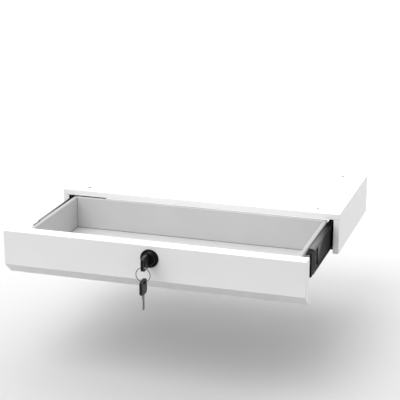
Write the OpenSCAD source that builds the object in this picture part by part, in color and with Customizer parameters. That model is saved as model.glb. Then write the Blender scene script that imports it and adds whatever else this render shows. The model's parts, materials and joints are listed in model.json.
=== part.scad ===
// Under-desk drawer: a shallow white drawer in a screwed-up carcass, on black ball-bearing slides,
// with a key lock in the middle of its front.
// The origin is the centre of the carcass's top face, which lies against the desk top.
// +Z is up, +Y is to the back, and the drawer opens towards -Y. It is drawn open.

/* [Carcass] */
// Width of the carcass and of the drawer front
carcass_w = 600; // [560:10:700]
// Depth of the carcass
carcass_d = 300; // [290:5:360]
// Height of the carcass
carcass_h = 84; // [82:1:100]
// Thickness of the carcass boards
board_t = 12; // [11:0.5:13]
// Distance between the desk screw holes, left to right
hole_spacing_x = 500; // [400:10:540]
// Distance between the desk screw holes, front to back
hole_spacing_y = 250; // [160:10:260]
// Diameter of the desk screw holes
hole_d = 6; // [4:0.5:7]

/* [Drawer] */
// How far the drawer is open
drawer_travel = 263.5; // [250:0.5:264]
// Gap between the closed front and the carcass
closed_gap = 1.3; // [1:0.1:3]
// Thickness of the drawer front
front_t = 28; // [26:1:32]
// Height of the drawer front, measured on its rear face
front_h = 93.5; // [90:0.5:110]
// Height of the flat part of the front, above the finger bevel
front_flat_h = 69; // [60:0.5:75]
// Outer depth of the drawer box behind its front
box_d = 268.5; // [265:0.5:280]
// Height of the drawer box, without its bottom
box_h = 67.5; // [66:0.5:68]
// Thickness of the drawer box boards
box_t = 7; // [7:0.5:9]
// Thickness of the drawer bottom
bottom_t = 3; // [2.5:0.5:4]

/* [Slides] */
// Thickness of a slide, which fills the gap beside the drawer box
slide_t = 13; // [13:0.1:13.4]
// Length of the member fixed to the carcass
cabinet_member_l = 270; // [265:1:275]
// Length of the middle and drawer members
moving_member_l = 250; // [245:1:252]
// How far the middle member moves between closed and open
middle_travel = 189; // [182:1:190]

/* [Lock] */
// Diameter of the rosette round the lock
rosette_d = 36; // [32:1:40]
// Depth of the lock's axis below the carcass's top face
lock_depth = 25; // [24:0.5:26]
// Length of the keys' plastic heads
head_l = 28.5; // [27:0.5:34]
// Width of the keys' plastic heads
head_w = 27; // [24:1:30]
// Outer diameter of the key ring
ring_d = 29.6; // [29:0.1:32]

/* [Hidden] */
$fn = 48;

// Colours
board_white = [0.95, 0.95, 0.95];
slide_black = [0.09, 0.09, 0.10];
plastic_black = [0.05, 0.05, 0.055];
zinc = [0.62, 0.63, 0.65];
steel = [0.75, 0.75, 0.76];
beech = [0.80, 0.66, 0.46];

// Carcass, worked out
half_w = carcass_w / 2;
carcass_front = -carcass_d / 2;
carcass_back = carcass_d / 2;
inner_half_w = half_w - board_t;
edge_ease = 0.5;         // chamfer on the edges of the carcass boards
box_ease = 0.8;          // chamfer on the edges of the drawer box boards
bottom_ease = 0.3;       // chamfer on the edges of the drawer bottom
overcut = 1;             // how far a cut runs past the face it opens

// Drawer, worked out
front_back_y = carcass_front - closed_gap - drawer_travel;
front_face_y = front_back_y - front_t;
front_round = 0.8;       // rounding of the front's edges
round_steps = 5;
box_half_w = inner_half_w - slide_t;
box_inner_half_w = box_half_w - box_t;
box_top = -(board_t + 2.5);
box_bottom = box_top - box_h;
box_back_y = front_back_y + box_d;

// Dowels and screws
dowel_r = 3;
dowel_in_edge = 16;      // length in the end or edge of a board
dowel_in_face = 8;       // length in the face of the other board
carcass_dowel_y = [-110, 0, 110];
back_dowel_z = [-32, -64];
front_dowel_r = 2.5;
front_dowel_z = [-32, -64];
front_dowel_in_front = 12;
front_dowel_in_side = 18;
screw_r = 1.5;
screw_head_r = 3.3;
screw_head_h = 1.2;
screw_fit = 0.05;
box_screw_z = [-24, -70];
box_screw_l = 28;
bottom_screw_l = 16;
bottom_screw_y = [18, 96, 174, 252];   // from the front's rear face

// Slide section: s runs from the drawer side to the carcass side, z from the slide's centre line
slide_z = -45;           // height of the slide's centre line
sheet_t = 1.2;
cabinet_half_h = 31;
cabinet_lip_s = 5.5;
cabinet_lip_drop = 2.8;
middle_half_h = 26.3;
middle_edge_s = 0.8;
middle_lip_t = 0.7;
middle_lip_drop = 2.7;
shoulder_s = 11;         // outer face of the middle member's ribs
web_recess = 1;          // how far its web lies behind the ribs
rib_top_z = 26;
rib_low_z = 21.2;
drawer_half_h = 21.3;
drawer_flange_s = 8;
outer_ball_r = 2.1;
outer_ball_at = [9.5, 27.65];
inner_ball_r = 1.9;
inner_ball_at = [3.8, 23.05];
race_gap = 0.15;         // between a ball and its race
pocket_gap = 0.1;        // between a ball and its cage
cage_sheet_t = 0.4;
cage_strip_t = 1.3;
cage_rim = 0.4;          // strip left beside the balls
outer_cage_s = 11.2;
inner_cage_s = 8.15;
outer_cage_l = 76;
inner_cage_l = 70;
outer_ball_count = 6;
inner_ball_count = 6;

// Slide members along Y, with the drawer open
bumper_l = 23;           // the stop's bumper, in front of the middle member
bumper_s = 1;
bumper_proud = 0.3;      // how far the stop stands out from the ribs
bumper_half_h = 24;
bumper_space_s = 8.3;    // the space in it that the drawer member runs through
bumper_space_half_h = 22.2;
cabinet_member_y = carcass_front + 2;
middle_member_y = cabinet_member_y + bumper_l - middle_travel;
drawer_member_y = front_back_y + 1.5;
outer_cage_y = (cabinet_member_y + middle_member_y + moving_member_l - outer_cage_l) / 2;
inner_cage_y = (middle_member_y + drawer_member_y + moving_member_l - inner_cage_l) / 2;
cabinet_screw_y = [20, 130, 240];    // from the member's front end
drawer_screw_y = [12, 60, 236];
window_y = 23;           // from the middle member's front end
window_w = 17;
window_h = 36;
access_hole_r = 5;
access_hole_y = [190, 228];
clip_half_h = 19;        // the stop's tongue and its cover, inside and outside the middle member
clip_joint_l = 3;        // how far they reach into its bumper
tongue_l = 20;
tongue_s = 5.2;
cover_l = 14;
lever_l = 56;
lever_w = 8;
lever_t = 2.6;
lever_pivot_y = drawer_member_y + 150;
lever_pin_r = 1.5;
lever_bore_gap = 0.05;
lever_hook = 3;

// Lock, worked out: o is the distance out of the front's face
lock_z = -lock_depth;
rosette_rim_o = 2.6;
rosette_boss_r = 13;
rosette_boss_o = 8;
barrel_r = 9.15;
barrel_o = 8.6;
barrel_gap = 0.15;
plug_r = 6.5;
plug_bore_r = 6.58;
plug_o = 9.2;
plug_tail = 6;           // length of the plug behind the front
cam_pin_at = 5;
cam_pin_r = 1.4;
cam_pin_l = 4.6;
case_half_w = 22;
case_top = -13.6;
case_bottom = -50;
case_depth = 13;
bolt_half_w = 9;
bolt_t = 4;
bolt_front = 7;          // from the front's rear face to the bolt
bolt_top = case_top - 0.4;
bolt_bottom = -46;
bolt_gap = 0.4;
bolt_travel = 2 * cam_pin_at * sin(45);
lock_screw_x = 16;
lock_screw_z = -43;
lock_screw_into_front = 10;
strike_half_w = 18;
strike_d = 13;
strike_t = 1.5;
strike_front = carcass_front + 1;
strike_slot_half_w = bolt_half_w + 2;
strike_slot_d = 7;
strike_slot_up = bolt_travel + bolt_gap;
strike_screw_x = 14.5;
strike_screw_l = 8;

// Keys
key_t = 2;
key_w = 9;
keyway_gap = 0.2;
blade_in_head = 8;
blade_out = 32;          // length of blade outside the head
head_t = 5.5;
head_round = 6;
head_start_o = 13;       // inner end of the head of the key in the lock
bitting = [3.2, 2.6, 3.8, 3, 3.6];
bitting_pitch = 4;
slot_l = 15;
slot_w = 4.5;
slot_rim = 3;
wire_r = 0.8;
wire_gap = 0.6;
ring_r = ring_d / 2 - wire_r;
ring_y = front_face_y - head_start_o - head_l + slot_rim + slot_w / 2;
ring_top_z = lock_z - slot_l / 2 + wire_gap + wire_r;
ring_z = ring_top_z - ring_r;
ring_bottom_z = ring_z - ring_r;
spare_top_z = ring_bottom_z + wire_r + wire_gap + slot_rim;

// ---------- shared shapes ----------

// A rectangle with its corners cut off
module eased_rect(size, ease) {
    polygon([
        [ease, 0], [size.x - ease, 0], [size.x, ease], [size.x, size.y - ease],
        [size.x - ease, size.y], [ease, size.y], [0, size.y - ease], [0, ease]
    ]);
}

// Extrudes an XZ outline along Y, from y0 to y0 + length
module along_y(y0, length) {
    translate([0, y0 + length, 0]) rotate([90, 0, 0]) linear_extrude(length) children();
}

// Extrudes a YZ outline along X, from x0 to x0 + length
module along_x(x0, length) {
    translate([x0, 0, 0]) rotate([90, 0, 90]) linear_extrude(length) children();
}

// A board between two corners, with a small chamfer on every edge
module board(low, high, ease = edge_ease) {
    size = high - low;
    translate(low) intersection() {
        linear_extrude(size.z) eased_rect([size.x, size.y], ease);
        along_y(0, size.y) eased_rect([size.x, size.z], ease);
        along_x(0, size.x) eased_rect([size.y, size.z], ease);
    }
}

// A plain block between two corners
module block(low, high) {
    translate(low) cube(high - low);
}

// Draws its children on the right (side = 1) or mirrored on the left (side = -1)
module on_side(side) {
    if (side > 0) children();
    else mirror([1, 0, 0]) children();
}

// A rod along X that starts at x0
module rod_x(x0, y, z, length, r) {
    translate([x0, y, z]) rotate([0, 90, 0]) cylinder(h = length, r = r);
}

// A rod along Y that starts at y0
module rod_y(x, y0, z, length, r) {
    translate([x, y0, z]) rotate([-90, 0, 0]) cylinder(h = length, r = r);
}

// A countersunk screw along -Z, with its head's flat face at the origin
module screw(length, grow = 0) {
    translate([0, 0, -screw_head_h])
        cylinder(h = screw_head_h, r1 = screw_r + grow, r2 = screw_head_r + grow);
    translate([0, 0, -length]) cylinder(h = length - screw_head_h, r = screw_r + grow);
}

// Points of an outline whose corners are rounded by arcs
function unit(v) = v / norm(v);
function rounded_corner(before, at, after, r) =
    let(
        a = unit(before - at),
        b = unit(after - at),
        half = acos(a * b) / 2,
        reach = r / tan(half),
        centre = at + unit(a + b) * r / sin(half),
        p = at + a * reach - centre,
        q = at + b * reach - centre,
        start = atan2(p.y, p.x),
        turn = (atan2(q.y, q.x) - start + 540) % 360 - 180
    )
    [for (i = [0 : round_steps]) centre + r * [cos(start + turn * i / round_steps),
                                              sin(start + turn * i / round_steps)]];
function rounded(points, r) =
    let(n = len(points))
    [for (i = [0 : n - 1])
        for (p = rounded_corner(points[(i + n - 1) % n], points[i], points[(i + 1) % n], r)) p];

// ---------- carcass ----------

module carcass_dowel_rods(grow = 0) {
    for (side = [-1, 1]) {
        for (y = carcass_dowel_y)
            translate([side * (half_w - board_t / 2), y, -board_t - dowel_in_edge])
                cylinder(h = dowel_in_edge + dowel_in_face, r = dowel_r + grow);
        for (z = back_dowel_z)
            on_side(side)
                rod_x(inner_half_w - dowel_in_edge, carcass_back - board_t / 2, z,
                      dowel_in_edge + dowel_in_face, dowel_r + grow);
    }
}

module strike_screw_set(grow = 0) {
    for (side = [-1, 1])
        translate([side * strike_screw_x, strike_front + strike_d / 2, -board_t])
            rotate([180, 0, 0]) screw(strike_screw_l, grow);
}

module top_panel() {
    color(board_white) difference() {
        board([-half_w, carcass_front, -board_t], [half_w, carcass_back, 0]);
        for (x = [-1, 1], y = [-1, 1])
            translate([x * hole_spacing_x / 2, y * hole_spacing_y / 2, -board_t - overcut])
                cylinder(h = board_t + 2 * overcut, r = hole_d / 2);
        carcass_dowel_rods();
        block([-strike_half_w, strike_front, -board_t - overcut],
              [strike_half_w, strike_front + strike_d, -board_t + strike_t]);
        block([-strike_slot_half_w, strike_front + (strike_d - strike_slot_d) / 2, -board_t - overcut],
              [strike_slot_half_w, strike_front + (strike_d + strike_slot_d) / 2,
               -board_t + strike_slot_up]);
        strike_screw_set(screw_fit);
    }
}

module side_panel(side) {
    color(board_white) difference() {
        on_side(side)
            board([inner_half_w, carcass_front, -carcass_h], [half_w, carcass_back, -board_t]);
        carcass_dowel_rods();
        on_side(side) cabinet_screw_set(screw_fit);
    }
}

module left_side_panel() side_panel(-1);

module right_side_panel() side_panel(1);

module back_panel() {
    color(board_white) difference() {
        board([-inner_half_w, carcass_back - board_t, -carcass_h], [inner_half_w, carcass_back, -board_t]);
        carcass_dowel_rods();
    }
}

module carcass_dowels() {
    color(beech) carcass_dowel_rods();
}

module strike_plate() {
    color(zinc) difference() {
        block([-strike_half_w, strike_front, -board_t],
              [strike_half_w, strike_front + strike_d, -board_t + strike_t]);
        block([-strike_slot_half_w, strike_front + (strike_d - strike_slot_d) / 2, -board_t - overcut],
              [strike_slot_half_w, strike_front + (strike_d + strike_slot_d) / 2,
               -board_t + strike_t + overcut]);
        strike_screw_set(screw_fit);
    }
}

module strike_screws() {
    color(steel) strike_screw_set();
}

// ---------- drawer box ----------

module front_dowel_rods() {
    for (side = [-1, 1], z = front_dowel_z)
        rod_y(side * (box_half_w - box_t / 2), front_back_y - front_dowel_in_front, z,
              front_dowel_in_front + front_dowel_in_side, front_dowel_r);
}

module box_screw_set(grow = 0) {
    for (side = [-1, 1], z = box_screw_z)
        on_side(side) translate([box_half_w, box_back_y - box_t / 2, z])
            rotate([0, 90, 0]) screw(box_screw_l, grow);
}

module lock_screw_set(grow = 0) {
    for (side = [-1, 1])
        translate([side * lock_screw_x, front_back_y + case_depth, lock_screw_z])
            rotate([-90, 0, 0]) screw(case_depth + lock_screw_into_front, grow);
}

// The screws that hold the bottom to the sides, heads down
module bottom_screw_set(grow = 0) {
    for (side = [-1, 1], y = bottom_screw_y)
        translate([side * (box_half_w - box_t / 2), front_back_y + y, box_bottom - bottom_t])
            rotate([180, 0, 0]) screw(bottom_screw_l, grow);
}

module drawer_front() {
    section = rounded([
        [front_face_y, 0], [front_face_y, -front_flat_h], [front_back_y, -front_h], [front_back_y, 0]
    ], front_round);
    outline = rounded([[-half_w, 0], [-half_w, -front_h], [half_w, -front_h], [half_w, 0]], edge_ease);
    color(board_white) difference() {
        intersection() {
            along_x(-half_w, carcass_w) polygon(section);
            along_y(front_face_y, front_t) polygon(outline);
            linear_extrude(2 * front_h, center = true)
                translate([-half_w, front_face_y]) eased_rect([carcass_w, front_t], edge_ease);
        }
        rod_y(0, front_face_y - overcut, lock_z, front_t + 2 * overcut, barrel_r + barrel_gap);
        front_dowel_rods();
        lock_screw_set(screw_fit);
    }
}

module drawer_side(side) {
    color(board_white) difference() {
        on_side(side)
            board([box_inner_half_w, front_back_y, box_bottom], [box_half_w, box_back_y, box_top],
                  box_ease);
        front_dowel_rods();
        box_screw_set(screw_fit);
        bottom_screw_set(screw_fit);
        on_side(side) drawer_screw_set(screw_fit);
    }
}

module left_drawer_side() drawer_side(-1);

module right_drawer_side() drawer_side(1);

module drawer_back() {
    color(board_white) difference() {
        board([-box_inner_half_w, box_back_y - box_t, box_bottom],
              [box_inner_half_w, box_back_y, box_top], box_ease);
        box_screw_set(screw_fit);
    }
}

module drawer_bottom() {
    color(board_white) difference() {
        board([-box_half_w, front_back_y, box_bottom - bottom_t], [box_half_w, box_back_y, box_bottom],
              bottom_ease);
        bottom_screw_set(screw_fit);
    }
}

module front_dowels() {
    color(beech) front_dowel_rods();
}

module box_screws() {
    color(steel) box_screw_set();
}

module bottom_screws() {
    color(steel) bottom_screw_set();
}

// ---------- slides, drawn on the right-hand side ----------

// Moves a slide section or piece from its own s and z to the drawer's right side
module at_slide() {
    translate([box_half_w, 0, slide_z]) children();
}

// Draws a bar from s0 to s1 and z0 to z1, and the same bar below the centre line
module bars(s0, s1, z0, z1) {
    for (low = [z0, -z1]) translate([s0, low]) square([s1 - s0, z1 - z0]);
}

// Draws a round race above and below the centre line
module races(ball_at, ball_r) {
    for (half = [-1, 1]) translate([ball_at.x, half * ball_at.y]) circle(r = ball_r + race_gap);
}

module cabinet_section() {
    translate([slide_t - sheet_t, -cabinet_half_h]) square([sheet_t, 2 * cabinet_half_h]);
    bars(cabinet_lip_s, slide_t, cabinet_half_h - sheet_t, cabinet_half_h);
    bars(cabinet_lip_s, cabinet_lip_s + sheet_t, cabinet_half_h - cabinet_lip_drop, cabinet_half_h);
}

module middle_section() {
    web_s = shoulder_s - web_recess;
    lip_z = middle_half_h - middle_lip_drop;
    inner_z = rib_top_z - 1.5 * sheet_t;
    upper = [
        [web_s, rib_low_z - sheet_t],
        [shoulder_s, rib_low_z],
        [shoulder_s, rib_top_z],
        [shoulder_s - sheet_t, middle_half_h],
        [middle_edge_s, middle_half_h],
        [middle_edge_s, lip_z],
        [middle_edge_s + middle_lip_t, lip_z],
        [middle_edge_s + middle_lip_t, middle_half_h - sheet_t],
        [inner_cage_s - 1.5 * sheet_t, middle_half_h - sheet_t],
        [inner_cage_s, inner_z],
        [shoulder_s - sheet_t, inner_z],
        [shoulder_s - sheet_t, rib_low_z + sheet_t / 3],
        [web_s - sheet_t, rib_low_z - sheet_t / 2]
    ];
    lower = [for (i = [len(upper) - 1 : -1 : 0]) [upper[i].x, -upper[i].y]];
    difference() {
        polygon(concat(upper, lower));
        races(outer_ball_at, outer_ball_r);
    }
}

module drawer_section() {
    difference() {
        union() {
            translate([0, -drawer_half_h]) square([sheet_t, 2 * drawer_half_h]);
            bars(0, drawer_flange_s, drawer_half_h - sheet_t, drawer_half_h);
        }
        races(inner_ball_at, inner_ball_r);
    }
}

// A ball cage: two strips that hold the balls, joined by a thin web
module cage(ball_at, ball_r, web_s, y0, length, count) {
    strip_low = ball_at.y - cage_strip_t / 2;
    strip_high = ball_at.y + cage_strip_t / 2;
    at_slide() difference() {
        along_y(y0, length) {
            translate([web_s, -ball_at.y]) square([cage_sheet_t, 2 * ball_at.y]);
            bars(ball_at.x - ball_r - cage_rim, web_s + cage_sheet_t, strip_low, strip_high);
        }
        for (y = ball_places(y0, length, count), side = [-1, 1])
            translate([ball_at.x, y, side * ball_at.y])
                cylinder(h = 2 * cage_strip_t, r = ball_r + pocket_gap, center = true);
    }
}

function ball_places(y0, length, count) = [for (i = [0 : count - 1]) y0 + length * (i + 0.5) / count];

module balls(ball_at, ball_r, y0, length, count) {
    at_slide() for (y = ball_places(y0, length, count), side = [-1, 1])
        translate([ball_at.x, y, side * ball_at.y]) sphere(r = ball_r, $fn = 32);
}

module cabinet_screw_set(grow = 0) {
    for (y = cabinet_screw_y)
        translate([inner_half_w - sheet_t, cabinet_member_y + y, slide_z])
            rotate([0, -90, 0]) screw(sheet_t + board_t - 2, grow);
}

module drawer_screw_set(grow = 0) {
    for (y = drawer_screw_y)
        translate([box_half_w + sheet_t, drawer_member_y + y, slide_z])
            rotate([0, 90, 0]) screw(sheet_t + box_t - 1, grow);
}

module cabinet_member(side) {
    color(slide_black) on_side(side) difference() {
        at_slide() along_y(cabinet_member_y, cabinet_member_l) cabinet_section();
        cabinet_screw_set(screw_fit);
    }
}

module middle_member(side) {
    color(slide_black) on_side(side) difference() {
        at_slide() along_y(middle_member_y, moving_member_l) middle_section();
        at_slide() block([tongue_s, middle_member_y + window_y, -window_h / 2],
                         [slide_t, middle_member_y + window_y + window_w, window_h / 2]);
        at_slide() for (y = access_hole_y)
            rod_x(tongue_s, middle_member_y + y, 0, slide_t, access_hole_r);
    }
}

module drawer_member(side) {
    color(slide_black) on_side(side) {
        difference() {
            at_slide() along_y(drawer_member_y, moving_member_l) drawer_section();
            drawer_screw_set(screw_fit);
        }
        at_slide() rod_x(sheet_t / 2, lever_pivot_y, 0, sheet_t / 2 + lever_t + 0.4, lever_pin_r);
    }
}

module outer_cage(side) {
    color(steel) on_side(side)
        cage(outer_ball_at, outer_ball_r, outer_cage_s, outer_cage_y, outer_cage_l, outer_ball_count);
}

module inner_cage(side) {
    color(steel) on_side(side)
        cage(inner_ball_at, inner_ball_r, inner_cage_s, inner_cage_y, inner_cage_l, inner_ball_count);
}

module outer_balls(side) {
    color(steel) on_side(side)
        balls(outer_ball_at, outer_ball_r, outer_cage_y, outer_cage_l, outer_ball_count);
}

module inner_balls(side) {
    color(steel) on_side(side)
        balls(inner_ball_at, inner_ball_r, inner_cage_y, inner_cage_l, inner_ball_count);
}

// The plastic stop on the middle member's front end: a bumper, with a tongue clipped inside the
// member and a cover over its web
module front_stop(side) {
    front_y = middle_member_y - bumper_l;
    clip_y = middle_member_y - clip_joint_l;
    web_s = shoulder_s - web_recess;
    outer_s = shoulder_s + bumper_proud;
    color(plastic_black) on_side(side) at_slide() {
        difference() {
            board([bumper_s, front_y, -bumper_half_h], [outer_s, middle_member_y, bumper_half_h]);
            block([0, front_y - overcut, -bumper_space_half_h],
                  [bumper_space_s, middle_member_y + overcut, bumper_space_half_h]);
        }
        board([tongue_s, clip_y, -clip_half_h],
              [web_s - sheet_t, middle_member_y + tongue_l, clip_half_h]);
        board([web_s, clip_y, -clip_half_h], [outer_s, middle_member_y + cover_l, clip_half_h]);
    }
}

// The plastic tongue that releases the drawer member, riveted to its web
module release_lever(side) {
    color(plastic_black) on_side(side) at_slide() translate([sheet_t + 0.2, 0, 0]) difference() {
        union() {
            board([0, lever_pivot_y - lever_l / 2, -lever_w / 2],
                  [lever_t, lever_pivot_y + lever_l / 2, lever_w / 2]);
            board([0, lever_pivot_y - lever_l / 2, -lever_w / 2],
                  [lever_t, lever_pivot_y - lever_l / 2 + lever_hook, lever_w / 2 + lever_hook]);
        }
        rod_x(-overcut, lever_pivot_y, 0, lever_t + 2 * overcut, lever_pin_r + lever_bore_gap);
    }
}

module cabinet_screws(side) {
    color(steel) on_side(side) cabinet_screw_set();
}

module drawer_screws(side) {
    color(steel) on_side(side) drawer_screw_set();
}

module left_cabinet_member() cabinet_member(-1);
module left_outer_cage() outer_cage(-1);
module left_outer_balls() outer_balls(-1);
module left_middle_member() middle_member(-1);
module left_inner_cage() inner_cage(-1);
module left_inner_balls() inner_balls(-1);
module left_drawer_member() drawer_member(-1);
module left_front_stop() front_stop(-1);
module left_release_lever() release_lever(-1);
module left_cabinet_screws() cabinet_screws(-1);
module left_drawer_screws() drawer_screws(-1);
module right_cabinet_member() cabinet_member(1);
module right_outer_cage() outer_cage(1);
module right_outer_balls() outer_balls(1);
module right_middle_member() middle_member(1);
module right_inner_cage() inner_cage(1);
module right_inner_balls() inner_balls(1);
module right_drawer_member() drawer_member(1);
module right_front_stop() front_stop(1);
module right_release_lever() release_lever(1);
module right_cabinet_screws() cabinet_screws(1);
module right_drawer_screws() drawer_screws(1);

// ---------- lock ----------

// Turns a shape that stands on the XY plane so that it stands out of the front's face
module on_lock() {
    translate([0, front_face_y, lock_z]) rotate([90, 0, 0]) children();
}

module lock_rosette() {
    rosette_r = rosette_d / 2;
    color(plastic_black) on_lock() rotate_extrude($fn = 96) polygon([
        [barrel_r + barrel_gap, 0], [rosette_r, 0], [rosette_r, rosette_rim_o - 1],
        [rosette_r - 0.4, rosette_rim_o - 0.3], [rosette_r - 1.1, rosette_rim_o],
        [rosette_r - 2.6, rosette_rim_o], [rosette_boss_r + 0.8, rosette_rim_o - 0.8],
        [rosette_boss_r, rosette_rim_o], [rosette_boss_r, rosette_boss_o - 1],
        [rosette_boss_r - 0.3, rosette_boss_o - 0.3], [rosette_boss_r - 1, rosette_boss_o],
        [barrel_r + barrel_gap, rosette_boss_o]
    ]);
}

module lock_barrel() {
    color(plastic_black) on_lock() translate([0, 0, -front_t]) difference() {
        cylinder(h = front_t + barrel_o, r = barrel_r);
        translate([0, 0, -overcut]) cylinder(h = front_t + barrel_o + 2 * overcut, r = plug_bore_r);
    }
}

module lock_plug() {
    color(plastic_black) on_lock() difference() {
        union() {
            translate([0, 0, -front_t - plug_tail])
                cylinder(h = front_t + plug_tail + plug_o, r = plug_r);
            rotate([0, 0, 225]) translate([cam_pin_at, 0, -front_t - plug_tail - cam_pin_l])
                cylinder(h = cam_pin_l + overcut, r = cam_pin_r);
        }
        block([-key_t / 2 - keyway_gap, -key_w / 2 - keyway_gap, head_start_o - blade_out - overcut],
              [key_t / 2 + keyway_gap, key_w / 2 + keyway_gap, plug_o + overcut]);
    }
}

module lock_case() {
    y0 = front_back_y;
    color(zinc) difference() {
        board([-case_half_w, y0, case_bottom], [case_half_w, y0 + case_depth, case_top]);
        rod_y(0, y0 - overcut, lock_z, overcut + bolt_front, plug_r + 0.3);
        block([-bolt_half_w - bolt_gap, y0 + bolt_front - bolt_gap, bolt_bottom - 1],
              [bolt_half_w + bolt_gap, y0 + bolt_front + bolt_t + bolt_gap, case_top + overcut]);
        lock_screw_set(screw_fit);
    }
}

module lock_bolt() {
    y0 = front_back_y + bolt_front;
    pin_z = lock_z - cam_pin_at * sin(45);
    slot_half_h = cam_pin_r + 0.3;
    color(zinc) difference() {
        board([-bolt_half_w, y0, bolt_bottom], [bolt_half_w, y0 + bolt_t, bolt_top]);
        block([-cam_pin_at - 2 * cam_pin_r, y0 - overcut, pin_z - slot_half_h],
              [-cam_pin_r, y0 + bolt_t + overcut, pin_z + slot_half_h]);
    }
}

module lock_screws() {
    color(steel) lock_screw_set();
}

// ---------- keys ----------

// Outline of a key's blade: u runs from its tip, at -blade_out, to the end inside the head
module blade_outline() {
    half = key_w / 2;
    cuts = [for (i = [0 : len(bitting) - 1])
        for (p = [[-1, 0], [-0.4, bitting[i]], [0.4, bitting[i]], [1, 0]])
            [-blade_out + bitting_pitch * (i + 1.2) + p.x * bitting_pitch / 2, -half + p.y]];
    polygon(concat(
        [[-blade_out, 0], [-blade_out + half / 2, -half]], cuts,
        [[blade_in_head, -half], [blade_in_head, half], [-blade_out + half / 2, half]]
    ));
}

module head_outline() {
    across = head_w - 2 * head_round;
    along = head_l - 2 * head_round;
    translate([head_round, -head_w / 2]) square([along, head_w]);
    translate([0, -across / 2]) square([head_l, across]);
    for (u = [head_round, head_l - head_round], v = [-across / 2, across / 2])
        translate([u, v]) circle(r = head_round);
}

module ring_slot() {
    translate([head_l - slot_rim - slot_w / 2, 0]) {
        square([slot_w, slot_l - slot_w], center = true);
        for (v = [-1, 1]) translate([0, v * (slot_l - slot_w) / 2]) circle(r = slot_w / 2);
    }
}

// A key's two pieces, lying along +u with their thickness centred on 0
module blade_piece() {
    translate([0, 0, -key_t / 2]) linear_extrude(key_t) blade_outline();
}

module head_piece() {
    difference() {
        translate([0, 0, -head_t / 2]) linear_extrude(head_t) difference() {
            head_outline();
            ring_slot();
        }
        block([-overcut, -key_w / 2, -key_t / 2], [blade_in_head, key_w / 2, key_t / 2]);
    }
}

// u along -Y out of the lock, v along Z
module in_lock() {
    translate([0, front_face_y - head_start_o, lock_z]) rotate([90, 0, -90]) children();
}

// u along +Z, v along Y, hanging from the ring
module hanging() {
    translate([0, ring_y, spare_top_z - head_l]) rotate([0, -90, 0]) children();
}

module key_blade() {
    color(steel) in_lock() blade_piece();
}

module key_head() {
    color(plastic_black) in_lock() head_piece();
}

module key_ring() {
    color(steel) translate([0, ring_y, ring_z]) rotate([90, 0, 0])
        rotate_extrude($fn = 64) translate([ring_r, 0]) circle(r = wire_r, $fn = 24);
}

module spare_key_blade() {
    color(steel) hanging() blade_piece();
}

module spare_key_head() {
    color(plastic_black) hanging() head_piece();
}

top_panel();
left_side_panel();
right_side_panel();
back_panel();
carcass_dowels();
strike_plate();
strike_screws();
drawer_front();
left_drawer_side();
right_drawer_side();
drawer_back();
drawer_bottom();
front_dowels();
box_screws();
bottom_screws();
left_cabinet_member();
left_outer_cage();
left_outer_balls();
left_middle_member();
left_inner_cage();
left_inner_balls();
left_drawer_member();
left_front_stop();
left_release_lever();
left_cabinet_screws();
left_drawer_screws();
right_cabinet_member();
right_outer_cage();
right_outer_balls();
right_middle_member();
right_inner_cage();
right_inner_balls();
right_drawer_member();
right_front_stop();
right_release_lever();
right_cabinet_screws();
right_drawer_screws();
lock_rosette();
lock_barrel();
lock_plug();
lock_case();
lock_bolt();
lock_screws();
key_blade();
key_head();
key_ring();
spare_key_blade();
spare_key_head();
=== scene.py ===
import json
import math

import bmesh
import bpy
from mathutils import Matrix, Vector

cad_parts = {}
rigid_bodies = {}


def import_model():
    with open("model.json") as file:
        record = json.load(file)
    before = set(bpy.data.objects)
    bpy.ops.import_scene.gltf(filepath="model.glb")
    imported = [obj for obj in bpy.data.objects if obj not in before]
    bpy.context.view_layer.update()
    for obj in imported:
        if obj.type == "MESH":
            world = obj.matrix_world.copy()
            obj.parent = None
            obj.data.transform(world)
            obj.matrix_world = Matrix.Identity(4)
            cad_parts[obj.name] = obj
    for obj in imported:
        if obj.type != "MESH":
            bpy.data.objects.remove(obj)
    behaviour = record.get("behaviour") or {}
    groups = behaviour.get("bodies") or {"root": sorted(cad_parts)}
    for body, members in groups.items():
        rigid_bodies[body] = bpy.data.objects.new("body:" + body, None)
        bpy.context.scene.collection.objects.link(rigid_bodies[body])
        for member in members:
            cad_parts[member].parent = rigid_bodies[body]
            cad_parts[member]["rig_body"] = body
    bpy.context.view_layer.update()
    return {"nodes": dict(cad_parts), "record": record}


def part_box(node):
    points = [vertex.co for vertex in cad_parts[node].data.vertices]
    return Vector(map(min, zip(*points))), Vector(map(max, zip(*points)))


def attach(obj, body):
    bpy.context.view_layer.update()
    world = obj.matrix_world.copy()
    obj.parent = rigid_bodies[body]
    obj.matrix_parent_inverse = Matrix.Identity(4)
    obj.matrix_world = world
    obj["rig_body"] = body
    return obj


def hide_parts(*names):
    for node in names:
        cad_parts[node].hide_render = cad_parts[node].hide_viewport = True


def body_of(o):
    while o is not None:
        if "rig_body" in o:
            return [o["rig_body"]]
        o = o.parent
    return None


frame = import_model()

# Looks of the under-desk drawer. Everything is in metres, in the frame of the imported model:
# the origin is the centre of the carcass's top face, +Z is up and the drawer opens towards -Y.

MM = 0.001
UM = 0.001 * MM
WELD = 1 * UM                         # points closer than this are one point
SIDES = ("left", "right")
nodes = frame["nodes"]

panel_low, panel_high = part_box("top_panel")
back_low, back_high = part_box("drawer_back")
desk_screws = next(m for m in frame["record"]["mounts"] if m["name"] == "desk_screws")["dims"]


# ---------- camera, light and floor ----------

CAMERA_PLACE = (0.782, -2.589, 0.798)
CAMERA_PITCH = -0.301                 # radians below the horizon
CAMERA_YAW = 0.308                    # radians to the left of +Y
CAMERA_LENS = 116.5                   # mm
CAMERA_SENSOR = 36                    # mm wide
FLOOR_DROP = 0.30                     # from the top face down to the floor
FLOOR_R = 40
FLOOR_SEGMENTS = 96


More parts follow.
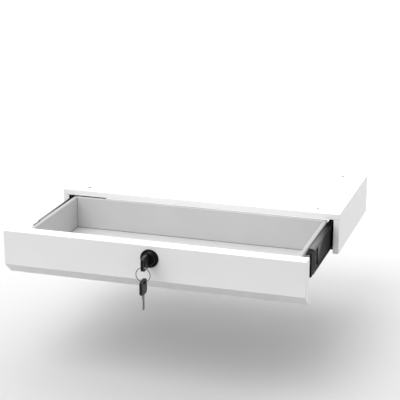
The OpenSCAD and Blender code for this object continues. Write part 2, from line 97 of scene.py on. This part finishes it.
def add_camera():
    data = bpy.data.cameras.new("camera")
    data.lens = CAMERA_LENS
    data.sensor_width = CAMERA_SENSOR
    data.clip_end = 4 * FLOOR_R
    camera = bpy.data.objects.new("camera", data)
    camera.location = CAMERA_PLACE
    camera.rotation_euler = (math.pi / 2 + CAMERA_PITCH, 0, CAMERA_YAW)
    bpy.context.scene.collection.objects.link(camera)
    bpy.context.scene.camera = camera


def add_area_light(name, place, target, size, power):
    data = bpy.data.lights.new(name, "AREA")
    data.shape = "DISK"
    data.size = size
    data.energy = power
    light = bpy.data.objects.new(name, data)
    light.location = place
    aim = Vector(target) - Vector(place)
    light.rotation_euler = aim.to_track_quat("-Z", "Y").to_euler()
    bpy.context.scene.collection.objects.link(light)


def add_sky(front, back, lean):
    """A white dome: its strength runs from front, at -Y, to back, and drops by lean towards +X."""
    world = bpy.data.worlds.new("studio")
    world.use_nodes = True
    background = world.node_tree.nodes["Background"]
    background.inputs["Color"].default_value = (1, 1, 1, 1)
    direction = add_node(world, "ShaderNodeTexCoord").outputs["Generated"]
    sweep = spread(world, along(world, direction, "Y"), front, back, -1, 1)
    across = spread(world, along(world, direction, "X"), lean, -lean, -1, 1)
    link(world, maths(world, "ADD", sweep, across), background.inputs["Strength"])
    bpy.context.scene.world = world


def add_floor():
    mesh = bpy.data.meshes.new("floor")
    bm = bmesh.new()
    bmesh.ops.create_circle(bm, cap_ends=True, radius=FLOOR_R, segments=FLOOR_SEGMENTS)
    bm.to_mesh(mesh)
    bm.free()
    floor = bpy.data.objects.new("floor", mesh)
    floor.location.z = -FLOOR_DROP
    bpy.context.scene.collection.objects.link(floor)
    mesh.materials.append(floor_paint())


# ---------- material building blocks ----------

NOISE_RANGE = (0.3, 0.7)              # where nearly all of a noise texture's values are
LEVEL = 0.95                          # a unit normal's Z above this looks up
MIX_FACTOR = 0                        # sockets of a mix node that is set to colours
MIX_LOW = 6
MIX_HIGH = 7
MIX_RESULT = 2


def new_material(name, **settings):
    """A node material whose main shader has the given constant inputs."""
    material = bpy.data.materials.new(name)
    material.use_nodes = True
    for key, value in settings.items():
        shader_of(material).inputs[key].default_value = value
    return material


def add_node(material, kind, **inputs):
    node = material.node_tree.nodes.new(kind)
    for key, value in inputs.items():
        node.inputs[key].default_value = value
    return node


def link(material, source, target):
    material.node_tree.links.new(source, target)


def shader_of(material):
    return material.node_tree.nodes["Principled BSDF"]


def place_of(material, stretch=(1, 1, 1)):
    """Row-frame position in metres, stretched along the axes."""
    coordinates = add_node(material, "ShaderNodeTexCoord")
    mapping = add_node(material, "ShaderNodeMapping", Scale=stretch)
    link(material, coordinates.outputs["Object"], mapping.inputs["Vector"])
    return mapping.outputs["Vector"]


def noise(material, scale, detail=3.0, roughness=0.5, stretch=(1, 1, 1)):
    texture = add_node(material, "ShaderNodeTexNoise", Scale=scale, Detail=detail, Roughness=roughness)
    link(material, place_of(material, stretch), texture.inputs["Vector"])
    return texture.outputs["Fac"]


def spread(material, source, low, high, source_low=NOISE_RANGE[0], source_high=NOISE_RANGE[1]):
    """Maps a value from its own range to the one between low and high, and stops at both ends."""
    node = add_node(material, "ShaderNodeMapRange")
    node.inputs["From Min"].default_value = source_low
    node.inputs["From Max"].default_value = source_high
    node.inputs["To Min"].default_value = low
    node.inputs["To Max"].default_value = high
    link(material, source, node.inputs["Value"])
    return node.outputs["Result"]


def add_mix(material, factor, high):
    """A colour mix that is high where factor is 1, and whose low colour is still to be given."""
    node = add_node(material, "ShaderNodeMix")
    node.data_type = "RGBA"
    node.inputs[MIX_HIGH].default_value = (*high, 1)
    link(material, factor, node.inputs[MIX_FACTOR])
    return node


def tint(material, factor, low, high):
    """Mixes two colours by a value between 0 and 1."""
    node = add_mix(material, factor, high)
    node.inputs[MIX_LOW].default_value = (*low, 1)
    return node.outputs[MIX_RESULT]


def along(material, vector, axis):
    """One component of a vector."""
    node = add_node(material, "ShaderNodeSeparateXYZ")
    link(material, vector, node.inputs["Vector"])
    return node.outputs[axis]


def maths(material, operation, *values):
    """One arithmetic step on values that are numbers or other nodes' outputs."""
    node = add_node(material, "ShaderNodeMath")
    node.operation = operation
    for i, value in enumerate(values):
        if isinstance(value, (int, float)):
            node.inputs[i].default_value = value
        else:
            link(material, value, node.inputs[i])
    return node.outputs["Value"]


def near(material, axis, place, reach):
    """1 where the position along an axis is within reach of place, and 0 elsewhere."""
    return maths(material, "COMPARE", along(material, place_of(material), axis), place, reach)


def facing_up(material):
    """1 on level faces that look up, and 0 elsewhere."""
    normal = add_node(material, "ShaderNodeNewGeometry").outputs["Normal"]
    return maths(material, "GREATER_THAN", along(material, normal, "Z"), LEVEL)


def repaint(material, mask, colour):
    """Gives the main shader another base colour where mask is 1."""
    target = shader_of(material).inputs["Base Color"]
    below = target.links[0].from_socket
    node = add_mix(material, mask, colour)
    link(material, below, node.inputs[MIX_LOW])
    link(material, node.outputs[MIX_RESULT], target)


def add_bump(material, height, distance, strength=1.0, under=None):
    node = add_node(material, "ShaderNodeBump", Strength=strength, Distance=distance)
    link(material, height, node.inputs["Height"])
    if under is not None:
        link(material, under, node.inputs["Normal"])
    return node.outputs["Normal"]


# ---------- materials ----------

def grey(value):
    return (value, value, value)


FLOOR_NEAR = (-1.6, 0.39)             # place along Y, and how light the floor is painted there, darker towards the front as painted shade
FLOOR_FAR = (2.6, 0.98)
FLOOR_FRONT_SHADE = 0.20                    # how much of that is left under the painted shade in front of the drawer
FLOOR_FRONT_SHADE_Y = (-1.1, -0.55)         # from there to the full tone
CLOUD_SCALE = 14.0                    # noise scales on the white boards, from coarse to fine
SHEEN_SCALE = 60.0
PEEL_SCALE = 450.0
PORE_SCALE = 2600.0
SHEEN_SWING = 0.05                    # how far the roughness strays to either side
FACE_REACH = 0.1 * MM                 # a point this close to a face is on it
JOINT_W = 1.1 * MM
HOLE_RAG = 0.25                       # mm of chipped foil round a hole
CORE = (0.10, 0.085, 0.07)            # the cut board inside a hole
GAP = (0.12, 0.12, 0.12)              # dust and shade in the joint between two boards
EDGE_GREY = (0.36, 0.36, 0.36)         # the drawer box boards' upper edges, a darker grey
HIGHLIGHT_STRIP_W = 1.6 * MM                   # width of a painted highlight left white along the -X side of those edges
LIT_TO_SHADE_Y = (-0.29, -0.17)               # from painted light to painted shade along the slides
SHADE_LINE = (-0.275, -0.060)        # Y and Z of the lowest painted light, at the slides' front; below it is painted shade
SHADE_RISE = 0.6                     # how steeply that edge of the painted shade rises from there
SHADE_FADE = 22 * MM                 # from painted shade to painted light, upwards from that line
LIT_LOW = 0.03                       # share of the painted light that is left below it
LIT_CLOUD_SCALE = 35.0
LIT_CLOUD_LEAST = 0.85
HIGHLIGHT_RIM_Z = -0.0690                  # the slides' lower rim, with a painted highlight too
# the slides' tone under painted light, and under painted shade
PAINTED_LIGHT_GREY = 0.21
PAINTED_SHADE_GREY = 0.004
BRUSH_SCALE = 1700.0                  # brush marks on the slides, drawn out along Y
DRAW_SCALE = 900.0                    # drawing marks on bare steel
DRAW_DARK = 0.82                      # how dark they are against the steel's own tone
PLASTIC_SCALE = 1800.0                # grain of moulded plastic, and the clouds in its shine
PLASTIC_CLOUD_SCALE = 90.0
PLASTIC_SWING = 0.06
TONE_SWING = 0.2                      # share by which a tone or a roughness strays
WOOD_SCALE = 500.0
WOOD_DARK = (0.50, 0.33, 0.19)
WOOD_LIGHT = (0.68, 0.50, 0.32)


def floor_paint():
    material = new_material("floor_paint", Roughness=0.55)
    # The floor's tone is painted shade: darker towards the front, and darker still in front of the
    # drawer
    sweep = along(material, place_of(material), "Y")
    slope = spread(material, sweep, FLOOR_NEAR[1], FLOOR_FAR[1], FLOOR_NEAR[0], FLOOR_FAR[0])
    front_shade = spread(material, sweep, FLOOR_FRONT_SHADE, 1.0, *FLOOR_FRONT_SHADE_Y)
    link(material, maths(material, "MULTIPLY", slope, front_shade), shader_of(material).inputs["Base Color"])
    return material


def lacquered_board(name, white, roughness, peel=20 * UM, shift=0.02):
    """White foil or lacquer on board: faint clouds, a fine orange peel and a satin shine."""
    material = new_material(name, IOR=1.48)
    shader = shader_of(material)
    clouds = spread(material, noise(material, CLOUD_SCALE, 4.0), 0.0, 1.0)
    link(material, tint(material, clouds, grey(white - shift), grey(white)), shader.inputs["Base Color"])
    sheen = spread(material, noise(material, SHEEN_SCALE, 4.0),
                   roughness - SHEEN_SWING, roughness + SHEEN_SWING)
    link(material, sheen, shader.inputs["Roughness"])
    waves = add_bump(material, noise(material, PEEL_SCALE, 2.0), peel)
    fine = add_bump(material, noise(material, PORE_SCALE, 1.0), peel / 4, under=waves)
    link(material, fine, shader.inputs["Normal"])
    return material


def carcass_board(name):
    """The carcass boards: bare core in the desk screw holes, a dark joint on the front edges."""
    material = lacquered_board(name, 0.84, 0.42)
    folded = add_node(material, "ShaderNodeVectorMath")
    folded.operation = "ABSOLUTE"
    link(material, place_of(material), folded.inputs[0])
    across = maths(material, "SUBTRACT", along(material, folded.outputs["Vector"], "X"),
                   desk_screws["spacing_x_mm"] * MM / 2)
    deep = maths(material, "SUBTRACT", along(material, folded.outputs["Vector"], "Y"),
                 desk_screws["spacing_y_mm"] * MM / 2)
    off = maths(material, "SQRT", maths(material, "ADD", maths(material, "MULTIPLY", across, across),
                                        maths(material, "MULTIPLY", deep, deep)))
    hole_r = (desk_screws["hole_r_mm"] + HOLE_RAG) * MM
    repaint(material, maths(material, "LESS_THAN", off, hole_r), CORE)
    under_panel = near(material, "Z", panel_low.z, JOINT_W / 2)
    in_front = near(material, "Y", panel_low.y, FACE_REACH)
    repaint(material, maths(material, "MULTIPLY", under_panel, in_front), GAP)
    return material


def drawer_box_board(name):
    """The drawer box boards: the white painted darker as painted shade, darker grey upper edges on the
    sides with a painted highlight along each one's -X edge, and a dark joint along the bottom.
    """
    # 0.53 is the front's white painted darker, as painted shade inside the drawer
    material = lacquered_board(name, 0.53, 0.42)
    at_top = near(material, "Z", back_high.z, FACE_REACH)
    top_edge = maths(material, "MULTIPLY", at_top, facing_up(material))
    for side in SIDES:
        low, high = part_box(f"{side}_drawer_side")
        # each wall's grey top leaves out the painted highlight strip at its -X edge
        grey_strip = near(material, "X", (low.x + HIGHLIGHT_STRIP_W + high.x) / 2, (high.x - low.x - HIGHLIGHT_STRIP_W) / 2)
        repaint(material, maths(material, "MULTIPLY", top_edge, grey_strip), EDGE_GREY)
    repaint(material, near(material, "Z", back_low.z, JOINT_W), GAP)
    return material


def turned_steel(name, value, roughness, stretch=(1, 1, 1), tone=(1, 1, 1)):
    """Plain or plated steel with drawing marks along one axis."""
    material = new_material(name, Metallic=1.0)
    shader = shader_of(material)
    marks = noise(material, DRAW_SCALE, 3.0, stretch=stretch)
    dark = [value * DRAW_DARK * t for t in tone]
    light = [value * t for t in tone]
    colour = tint(material, spread(material, marks, 0.0, 1.0), dark, light)
    sheen = spread(material, marks, roughness * (1 - TONE_SWING), roughness * (1 + TONE_SWING))
    link(material, colour, shader.inputs["Base Color"])
    link(material, sheen, shader.inputs["Roughness"])
    link(material, add_bump(material, marks, 4 * UM), shader.inputs["Normal"])
    return material


def slide_painted_light(material):
    """How much painted light the slides get instead of painted shade: most above a line that
    rises towards the back, on level faces and on the lower rim, and less and less towards the back."""
    place = place_of(material)
    front = spread(material, along(material, place, "Y"), 1.0, 0.0, *LIT_TO_SHADE_Y)
    along_slide = maths(material, "SUBTRACT", along(material, place, "Y"), SHADE_LINE[0])
    line = maths(material, "MULTIPLY_ADD", along_slide, SHADE_RISE, SHADE_LINE[1])
    above = maths(material, "SUBTRACT", along(material, place, "Z"), line)
    upper = spread(material, above, LIT_LOW, 1.0, 0, SHADE_FADE)
    rim = maths(material, "LESS_THAN", along(material, place, "Z"), HIGHLIGHT_RIM_Z)
    level = maths(material, "MAXIMUM", facing_up(material), rim)
    lit_share = maths(material, "MULTIPLY", front, maths(material, "MAXIMUM", upper, level))
    clouds = spread(material, noise(material, LIT_CLOUD_SCALE), LIT_CLOUD_LEAST, 1.0)
    return maths(material, "MULTIPLY", lit_share, clouds)


def black_steel(name):
    """Black lacquered sheet steel, with painted light and painted shade laid on by position."""
    material = new_material(name, **{"Specular IOR Level": 0.01})
    shader = shader_of(material)
    # painted shade where the mask is 0, painted light where it is 1
    colour = tint(material, slide_painted_light(material), grey(PAINTED_SHADE_GREY), grey(PAINTED_LIGHT_GREY))
    link(material, colour, shader.inputs["Base Color"])
    marks = noise(material, BRUSH_SCALE, 3.0, stretch=(1, 0.04, 1))
    link(material, spread(material, marks, 0.28, 0.38), shader.inputs["Roughness"])
    link(material, add_bump(material, marks, 3 * UM), shader.inputs["Normal"])
    return material


def moulded_plastic(name, value, roughness, shine=0.3, grain=12 * UM):
    """Black moulded plastic with a fine spark-eroded grain."""
    material = new_material(name, **{"Specular IOR Level": shine})
    shader = shader_of(material)
    specks = noise(material, PLASTIC_SCALE, 3.0)
    colour = tint(material, spread(material, specks, 0.0, 1.0),
                  grey(value * (1 - TONE_SWING)), grey(value * (1 + TONE_SWING)))
    sheen = spread(material, noise(material, PLASTIC_CLOUD_SCALE),
                   roughness - PLASTIC_SWING, roughness + PLASTIC_SWING)
    link(material, colour, shader.inputs["Base Color"])
    link(material, sheen, shader.inputs["Roughness"])
    link(material, add_bump(material, specks, grain), shader.inputs["Normal"])
    return material


def beech(name):
    """Plain beech dowel with its grain along Z."""
    material = new_material(name, Roughness=0.6)
    shader = shader_of(material)
    grain = noise(material, WOOD_SCALE, 5.0, stretch=(1, 1, 0.08))
    colour = tint(material, spread(material, grain, 0.0, 1.0), WOOD_DARK, WOOD_LIGHT)
    link(material, colour, shader.inputs["Base Color"])
    link(material, add_bump(material, grain, 30 * UM), shader.inputs["Normal"])
    return material


def make_paints():
    """One Blender material for each material slot of the record."""
    return {
        "front_white": lacquered_board("front_white", 0.84, 0.38),
        "carcass_white": carcass_board("carcass_white"),
        # drawer_white and bottom_white are the front's white painted darker, as painted shade inside the
        # drawer
        "drawer_white": drawer_box_board("drawer_white"),
        "bottom_white": lacquered_board("bottom_white", 0.56, 0.48),
        "dowel_beech": beech("dowel_beech"),
        "slide_black": black_steel("slide_black"),
        "cage_steel": turned_steel("cage_steel", 0.55, 0.35, stretch=(1, 0.05, 1)),
        "ball_steel": turned_steel("ball_steel", 0.80, 0.10),
        "slide_plastic": moulded_plastic("slide_plastic", 0.012, 0.55, shine=0.05),
        "rosette_black": moulded_plastic("rosette_black", 0.006, 0.28),
        "lock_black": moulded_plastic("lock_black", 0.006, 0.30),
        "lock_zinc": turned_steel("lock_zinc", 0.60, 0.38),
        "screw_steel": turned_steel("screw_steel", 0.70, 0.28),
        "slide_screw_black": black_steel("slide_screw_black"),
        "key_plastic": moulded_plastic("key_plastic", 0.008, 0.36),
        "key_nickel": turned_steel("key_nickel", 0.36, 0.30, stretch=(1, 1, 0.1), tone=(1, 0.97, 0.93)),
        "ring_steel": turned_steel("ring_steel", 0.30, 0.22),
    }


def paint_nodes():
    for part in frame["record"]["subparts"]:
        mesh = nodes[part["node"]].data
        mesh.materials.clear()
        mesh.materials.append(paints[part["material_slot"]])


# ---------- pieces ----------

SCREW_R = 1.5 * MM
SCREW_ROOT_R = 1.1 * MM
SCREW_HEAD_R = 3.3 * MM
SCREW_HEAD_H = 1.2 * MM
SCREW_PITCH = 1.4 * MM
THREAD_ROOT_AT = 0.3                  # shares of a pitch where the thread's root and crest are
THREAD_CREST_AT = 0.7
HEAD_RIM = 0.1                        # share of a head's height that is its upright rim
HEAD_EDGE = 0.97                      # share of a head's radius where its flat face ends
SCREW_TIP = 0.1                       # share of a screw's radius at its tip
CROSS_FLOOR = 0.55                    # how far a recess narrows to its floor
CROSS_ARM = 1.7 * MM                  # half the length of the recess in a screw's head
CROSS_HALF_W = 0.45 * MM
CROSS_DEEP = 1.0 * MM
NEVER_ZERO = 1e-6
HEAD_SEGMENTS = 48
SHANK_SEGMENTS = 16
KEY_BITTING = [3.2 * MM, 2.6 * MM, 3.8 * MM, 3.0 * MM, 3.6 * MM]
KEY_PITCH = 4 * MM
KEY_FIRST_CUT = 1.2                   # pitches from the tip to the first cut
KEY_CUT_FLANK = 0.6                   # share of half a cut that is its sloping flank
KEY_CUT_STEPS = (-0.5, -0.2, 0.2)     # where a cut starts, reaches its floor and leaves it
KEY_CUTS_END = len(KEY_BITTING) + 0.7
KEY_FLUTE = (0.2 * MM, 1.4 * MM)      # the milled groove's lower and upper edge
KEY_FLUTE_DEEP = 0.45 * MM
KEY_FLUTE_LEAST = 0.5 * MM            # a flute narrower than this isn't milled
KEY_TIP = 2 * MM
KEY_TIP_BLUNT = 0.05 * MM
MOULD_ROUND = 1.0 * MM                # rounding of the keys' plastic heads
MOULD_ROUND_SEGMENTS = 3
MOULD_EDGE = math.radians(40)         # edges sharper than this are rounded


def add_piece(name, bm, node):
    """Turns a bmesh into a piece that stands for a CAD node and takes its body and its finish."""
    bmesh.ops.recalc_face_normals(bm, faces=bm.faces)
    mesh = bpy.data.meshes.new(name)
    bm.to_mesh(mesh)
    bm.free()
    piece = bpy.data.objects.new(name, mesh)
    bpy.context.scene.collection.objects.link(piece)
    finish = slot_of(node)
    mesh.materials.append(paints[finish])
    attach(piece, body_of(nodes[node])[0])
    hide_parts(node)
    return piece


def slot_of(node):
    return next(p["material_slot"] for p in frame["record"]["subparts"] if p["node"] == node)


def round_angles(segments):
    return [2 * math.pi * i / segments for i in range(segments)]


def add_shell(bm, rings, place):
    """A closed shell through rings of points, from its first ring to its last."""
    loops = [[bm.verts.new(place @ Vector(point)) for point in ring] for ring in rings]
    for low, high in zip(loops, loops[1:]):
        for i in range(len(low)):
            bm.faces.new((low[i - 1], low[i], high[i], high[i - 1]))
    bm.faces.new(loops[0])
    bm.faces.new(loops[-1])


def circle(radius, height, segments):
    return [(radius * math.cos(a), radius * math.sin(a), height) for a in round_angles(segments)]


def cross(scale, height):
    """A ring that follows a cross-shaped recess."""
    ring = []
    for a in round_angles(HEAD_SEGMENTS):
        c = max(abs(math.cos(a)), NEVER_ZERO)
        s = max(abs(math.sin(a)), NEVER_ZERO)
        reach = max(min(CROSS_ARM / c, CROSS_HALF_W / s), min(CROSS_ARM / s, CROSS_HALF_W / c))
        ring.append((scale * reach * math.cos(a), scale * reach * math.sin(a), height))
    return ring


def add_screw(bm, place, length):
    """A countersunk cross-head screw along -Z, with its head's flat face at height 0."""
    head = [circle(SCREW_R, -SCREW_HEAD_H, HEAD_SEGMENTS),
            circle(SCREW_HEAD_R, -HEAD_RIM * SCREW_HEAD_H, HEAD_SEGMENTS),
            circle(HEAD_EDGE * SCREW_HEAD_R, 0, HEAD_SEGMENTS),
            cross(1.0, 0),
            cross(CROSS_FLOOR, -CROSS_DEEP)]
    add_shell(bm, head, place)
    turns = int((length - SCREW_HEAD_H) / SCREW_PITCH) - 1
    shank = [circle(SCREW_R, -SCREW_HEAD_H, SHANK_SEGMENTS)]
    for i in range(turns):
        top = -SCREW_HEAD_H - i * SCREW_PITCH
        shank.append(circle(SCREW_ROOT_R, top - THREAD_ROOT_AT * SCREW_PITCH, SHANK_SEGMENTS))
        shank.append(circle(SCREW_R, top - THREAD_CREST_AT * SCREW_PITCH, SHANK_SEGMENTS))
    shank.append(circle(SCREW_TIP * SCREW_R, -length, SHANK_SEGMENTS))
    add_shell(bm, shank, place)


def loose_parts(node):
    """The points of each separate solid in a CAD node."""
    bm = bmesh.new()
    bm.from_mesh(nodes[node].data)
    bmesh.ops.remove_doubles(bm, verts=bm.verts, dist=WELD)
    left = set(bm.verts)
    parts = []
    while left:
        todo = [left.pop()]
        part = []
        while todo:
            vert = todo.pop()
            part.append(vert.co.copy())
            for edge in vert.link_edges:
                other = edge.other_vert(vert)
                if other in left:
                    left.remove(other)
                    todo.append(other)
        parts.append(part)
    bm.free()
    return parts


def screw_place(points):
    """Where a screw's head is, as a matrix with Z out of the head, and how long the screw is."""
    low = Vector([min(p[i] for p in points) for i in range(3)])
    high = Vector([max(p[i] for p in points) for i in range(3)])
    size = high - low
    centre = (low + high) / 2
    axis = max(range(3), key=lambda i: size[i])

    def off_axis(point):
        out = point - centre
        out[axis] = 0
        return out.length

    head = max(points, key=off_axis)
    out = Vector((0, 0, 0))
    out[axis] = 1 if head[axis] > centre[axis] else -1
    origin = centre.copy()
    origin[axis] = head[axis]
    turn = out.to_track_quat("Z", "Y").to_matrix().to_4x4()
    return Matrix.Translation(origin) @ turn, size[axis]


def add_screws():
    for node in nodes:
        if node.endswith("screws"):
            bm = bmesh.new()
            for points in loose_parts(node):
                place, length = screw_place(points)
                add_screw(bm, place, length)
            add_piece(node + "_crossed", bm, node)


def key_cut(u):
    """How deep the bitting is, u from the key's tip."""
    for i, deep in enumerate(KEY_BITTING):
        off = abs(u - KEY_PITCH * (i + KEY_FIRST_CUT)) / (KEY_PITCH / 2)
        if off < 1:
            return deep * min(1, (1 - off) / KEY_CUT_FLANK)
    return 0


def blade_section(u, half_w, half_t):
    """A ring round the blade at u from its tip: x across its thickness, y across its width."""
    high = half_w * min(1, (u + KEY_TIP_BLUNT) / KEY_TIP)
    low = -high + key_cut(u)
    flute = [min(max(edge, low), high) for edge in KEY_FLUTE]
    deep = KEY_FLUTE_DEEP if flute[1] - flute[0] > KEY_FLUTE_LEAST else 0
    slope = deep / 2
    side = [(half_t, low), (half_t, flute[0]), (half_t - deep, flute[0] + slope),
            (half_t - deep, flute[1] - slope), (half_t, flute[1]), (half_t, high)]
    other = [(-x, y) for x, y in reversed(side)]
    return [(x, y, u) for x, y in side + other]


def add_key_blade(node, along_axis, tip_high):
    """A milled key blade in the place of a CAD blade, whose tip is its high or its low end."""
    low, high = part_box(node)
    centre = (low + high) / 2
    length = high[along_axis] - low[along_axis]
    half_t = (high.x - low.x) / 2
    across_axis = 3 - along_axis
    half_w = (high[across_axis] - low[across_axis]) / 2
    places = [0, KEY_TIP]
    for i in range(len(KEY_BITTING)):
        places += [KEY_PITCH * (i + KEY_FIRST_CUT + step) for step in KEY_CUT_STEPS]
    places += [KEY_PITCH * KEY_CUTS_END, length]
    forward = Vector((0, 0, 0))
    forward[along_axis] = -1 if tip_high else 1
    side = Vector((0, 0, 0))
    side[across_axis] = 1
    origin = centre - forward * length / 2
    place = Matrix.Translation(origin) @ Matrix((Vector((1, 0, 0)), side, forward)).transposed().to_4x4()
    bm = bmesh.new()
    add_shell(bm, [blade_section(u, half_w, half_t) for u in sorted(set(places))], place)
    add_piece(node + "_milled", bm, node)


def soften(node, width):
    """Rounds the sharp edges of a CAD node's look."""
    weld = nodes[node].modifiers.new("weld", "WELD")
    weld.merge_threshold = WELD
    bevel = nodes[node].modifiers.new("round", "BEVEL")
    bevel.width = width
    bevel.segments = MOULD_ROUND_SEGMENTS
    bevel.limit_method = "ANGLE"
    bevel.angle_limit = MOULD_EDGE


# ---------- scene ----------

bpy.context.scene.view_settings.view_transform = "Standard"
add_camera()
add_sky(0.62, 1.30, 0.18)
add_area_light("key", place=(-0.9, -2.2, 2.9), target=(0, -0.15, 0), size=3.0, power=88)
add_area_light("overhead", place=(0.1, 0.8, 3.0), target=(0, 0, 0), size=3.0, power=30)
add_floor()
paints = make_paints()
paint_nodes()
add_screws()
add_key_blade("key_blade", along_axis=1, tip_high=True)
add_key_blade("spare_key_blade", along_axis=2, tip_high=False)
for head in ("key_head", "spare_key_head"):
    soften(head, MOULD_ROUND)
